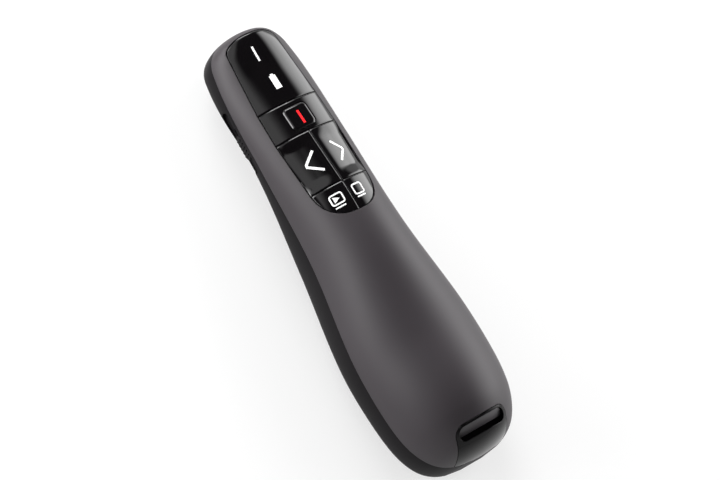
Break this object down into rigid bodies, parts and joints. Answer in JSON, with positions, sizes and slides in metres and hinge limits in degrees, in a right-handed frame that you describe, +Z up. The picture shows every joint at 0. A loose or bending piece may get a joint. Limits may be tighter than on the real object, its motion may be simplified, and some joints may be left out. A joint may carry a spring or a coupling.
{
  "type": "wireless presentation clicker",
  "caption": "Hand-held presentation remote with a rounded matt shell, a glossy key panel, a laser at the nose, a slide-off battery door and a pull-out USB receiver in the tail.",
  "frame": {"origin": "middle of the length and the width, on the plane that the flat of the underside stands on", "axes": "+Y along the length out of the nose, +X to the right with the keys up, +Z up out of the keys"},
  "size_m": [0.0344, 0.1154, 0.0257],
  "materials": {
    "soft_touch": "matte soft-touch",
    "shell_black": "fine matte black",
    "gloss_black": "polished",
    "cradle_plastic": "moulded",
    "board_laminate": "solder mask",
    "chip_epoxy": "moulded epoxy",
    "bright_steel": "plated",
    "spring_steel": "nickel plated",
    "brass": "turned",
    "lens_glass": "polished",
    "guide_plastic": "clear moulded",
    "cell_sleeve": "printed sleeve",
    "white_plastic": "moulded"
  },
  "bodies": {
    "case": {"top_case": "soft_touch", "bottom_case": "shell_black", "status_window": "gloss_black", "key_surround": "gloss_black", "laser_bezel": "gloss_black", "battery_cradle": "cradle_plastic", "circuit_board": "board_laminate", "laser_driver_board": "board_laminate", "controller_chip": "chip_epoxy", "radio_chip": "chip_epoxy", "key_switches": "chip_epoxy", "crystal": "bright_steel", "board_screws": "bright_steel", "slide_switch": "bright_steel", "case_screws": "bright_steel", "contact_springs": "spring_steel", "tail_contact": "spring_steel", "front_contacts": "spring_steel", "laser_barrel": "brass", "laser_diode": "brass", "laser_lens": "lens_glass", "light_guides": "guide_plastic", "power_led": "guide_plastic", "battery_led": "guide_plastic", "aaa_cell_left": "cell_sleeve", "aaa_cell_right": "cell_sleeve"},
    "laser_key": {"laser_button": "gloss_black", "laser_plunger": "bright_steel"},
    "previous_key": {"previous_button": "gloss_black", "previous_plunger": "bright_steel"},
    "next_key": {"next_button": "gloss_black", "next_plunger": "bright_steel"},
    "slideshow_key": {"slideshow_button": "gloss_black", "slideshow_plunger": "bright_steel"},
    "blank_screen_key": {"blank_screen_button": "gloss_black", "blank_screen_plunger": "bright_steel"},
    "power_switch": {"power_slider": "shell_black"},
    "door": {"battery_door": "shell_black"},
    "receiver": {"receiver_cap": "gloss_black", "receiver_housing": "gloss_black", "receiver_board": "board_laminate", "receiver_chip": "chip_epoxy", "usb_shell": "bright_steel", "usb_tongue": "white_plastic", "usb_contacts": "brass"}
  },
  "joints": [
    {"name": "laser_press", "type": "slide", "parent": "case", "child": "laser_key", "axis": [0, 0, -1], "range_m": [0, 0.00035], "stiffness_N_per_m": 600, "springref_m": -0.0002},
    {"name": "previous_press", "type": "slide", "parent": "case", "child": "previous_key", "axis": [0, 0, -1], "range_m": [0, 0.00035], "stiffness_N_per_m": 600, "springref_m": -0.0002},
    {"name": "next_press", "type": "slide", "parent": "case", "child": "next_key", "axis": [0, 0, -1], "range_m": [0, 0.00035], "stiffness_N_per_m": 600, "springref_m": -0.0002},
    {"name": "slideshow_press", "type": "slide", "parent": "case", "child": "slideshow_key", "axis": [0, 0, -1], "range_m": [0, 0.00035], "stiffness_N_per_m": 600, "springref_m": -0.0002},
    {"name": "blank_screen_press", "type": "slide", "parent": "case", "child": "blank_screen_key", "axis": [0, 0, -1], "range_m": [0, 0.00035], "stiffness_N_per_m": 600, "springref_m": -0.0002},
    {"name": "power_slide", "type": "slide", "parent": "case", "child": "power_switch", "axis": [0, 1, 0], "range_m": [0, 0.0025]},
    {"name": "door_slide", "type": "slide", "parent": "case", "child": "door", "axis": [0, -1, 0], "range_m": [0, 0.008]},
    {"name": "receiver_slide", "type": "slide", "parent": "case", "child": "receiver", "axis": [0, -1, 0], "range_m": [0, 0.06]}
  ]
}
